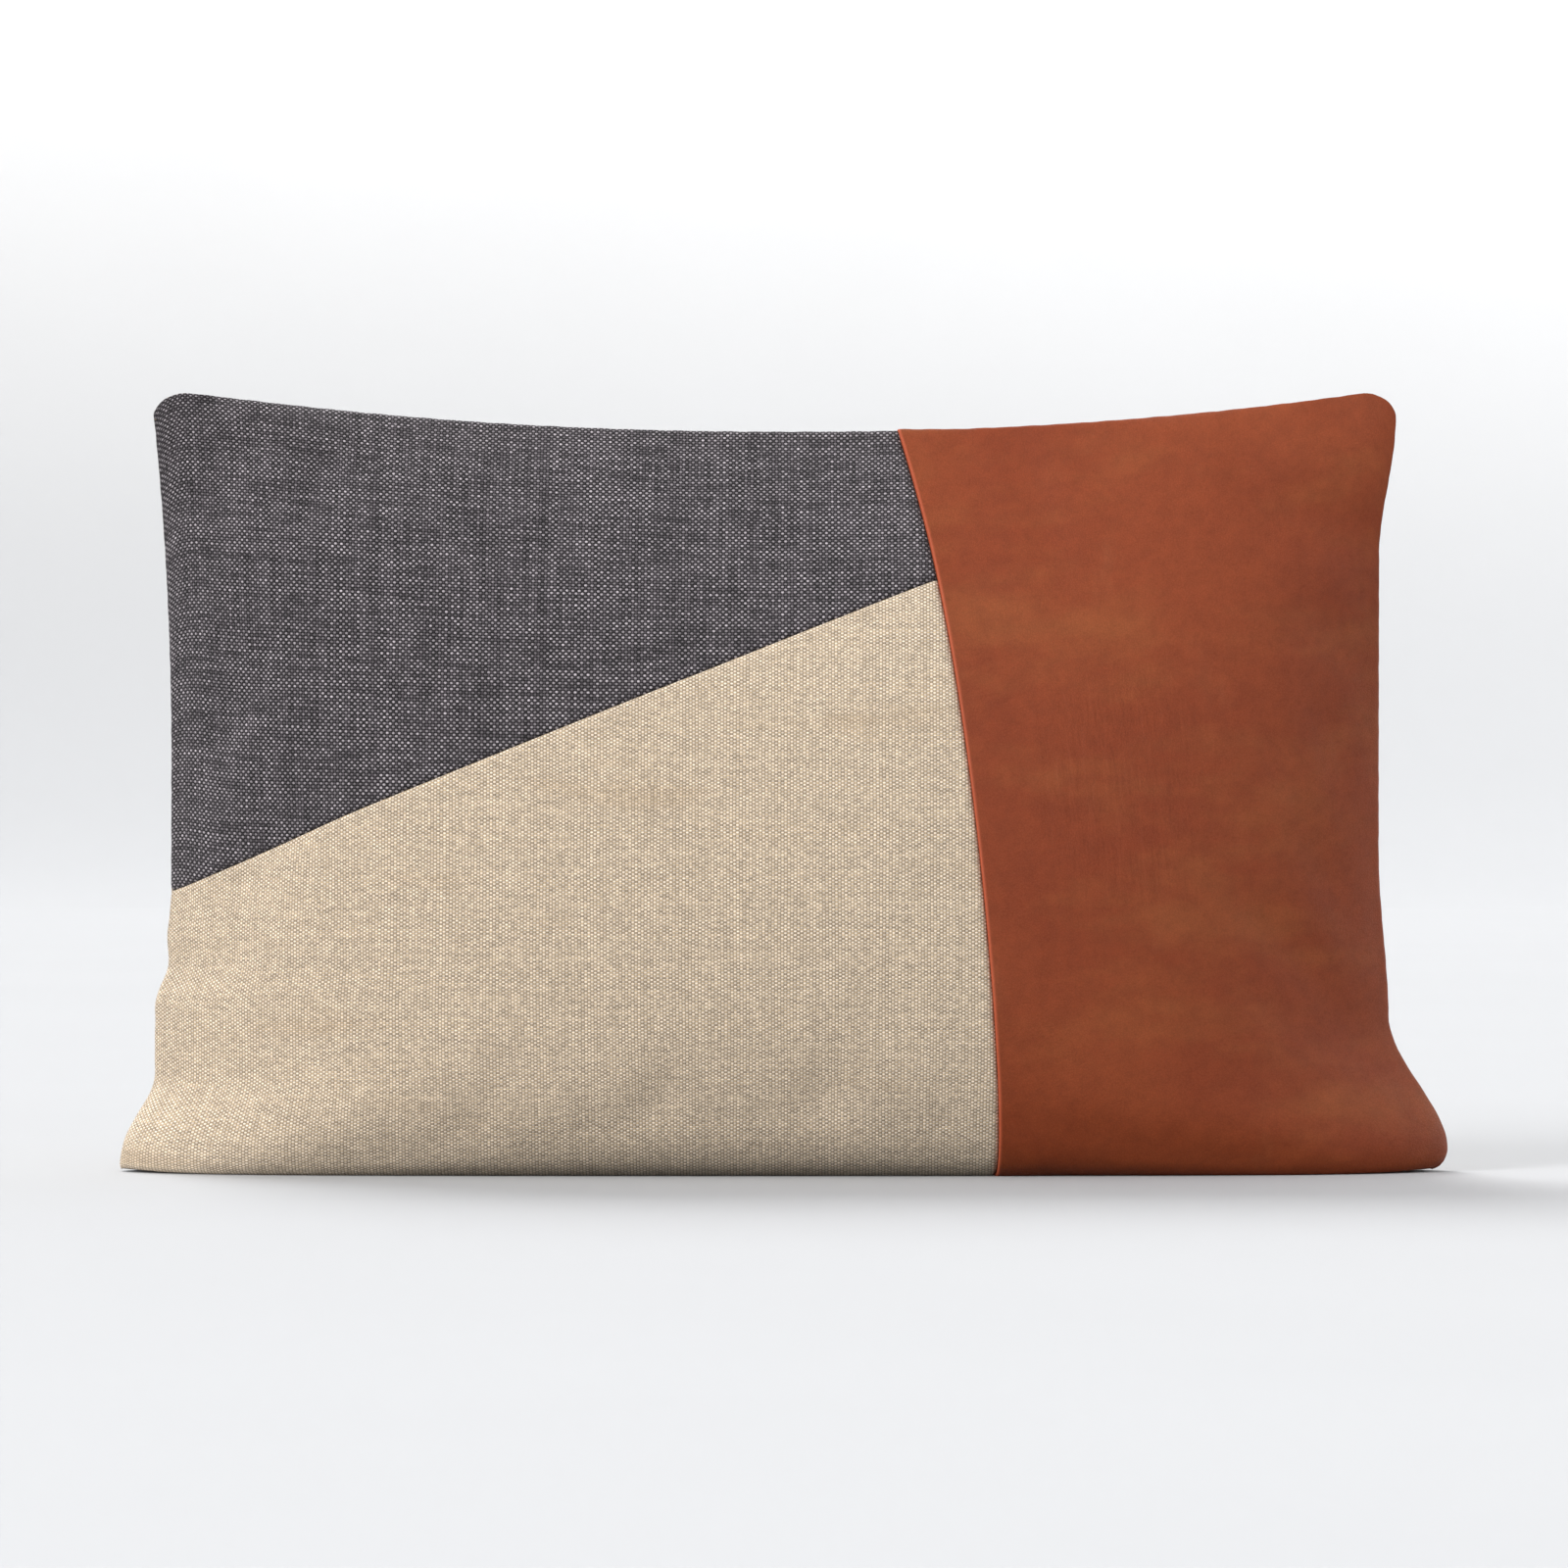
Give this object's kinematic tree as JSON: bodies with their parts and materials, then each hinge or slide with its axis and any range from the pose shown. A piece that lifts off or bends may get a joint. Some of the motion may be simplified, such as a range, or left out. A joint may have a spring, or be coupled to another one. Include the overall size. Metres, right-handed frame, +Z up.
{
  "type": "throw pillow",
  "caption": "Lumbar throw pillow: a zip cover pieced from charcoal weave, canvas and leather over a stuffed insert.",
  "frame": {"origin": "middle of the base, on the surface that the pillow stands on", "axes": "+X along the width to the viewer's right, -Y out of the pieced front, +Z up"},
  "size_m": [0.5, 0.1137, 0.2922],
  "materials": {
    "charcoal_weave": "matte",
    "canvas": "matte",
    "leather": "satin",
    "thread": "matte",
    "zip_tape": "matte",
    "zip_coil": "satin",
    "zip_metal": "satin",
    "label": "satin",
    "casing": "matte",
    "fibre_fill": "matte"
  },
  "bodies": {
    "pillow": {"front_panel_charcoal": "charcoal_weave", "front_panel_canvas": "canvas", "front_panel_leather": "leather", "back_panel": "canvas", "diagonal_seam_thread": "thread", "leather_seam_thread": "thread", "perimeter_seam_thread": "thread", "overlocked_allowance": "thread", "zip_tape_front": "zip_tape", "zip_tape_back": "zip_tape", "zip_coil_front": "zip_coil", "zip_coil_back": "zip_coil", "zip_top_stops": "zip_metal", "zip_bottom_stop": "zip_metal", "zip_stitching_front": "thread", "zip_stitching_back": "thread", "zip_bartacks": "thread", "care_label": "label", "insert_casing_front": "casing", "insert_casing_back": "casing", "insert_seam_thread": "casing", "insert_closing_stitches": "casing", "insert_fibre_fill": "fibre_fill", "insert_tag": "label"},
    "zip_slider": {"zip_slider_body": "zip_metal"},
    "pull_tab": {"zip_pull_tab": "zip_metal"}
  },
  "joints": [
    {"name": "zip_slide", "type": "slide", "parent": "pillow", "child": "zip_slider", "axis": [1, 0, 0], "range_m": [-0.349, 0], "deforming": ["zip_coil_front", "zip_coil_back"]},
    {"name": "tab_swing", "type": "hinge", "parent": "zip_slider", "child": "pull_tab", "pos_m": [0.1747, 0, 0.0053], "axis": [0, -1, 0], "range_deg": [0, 175]}
  ]
}
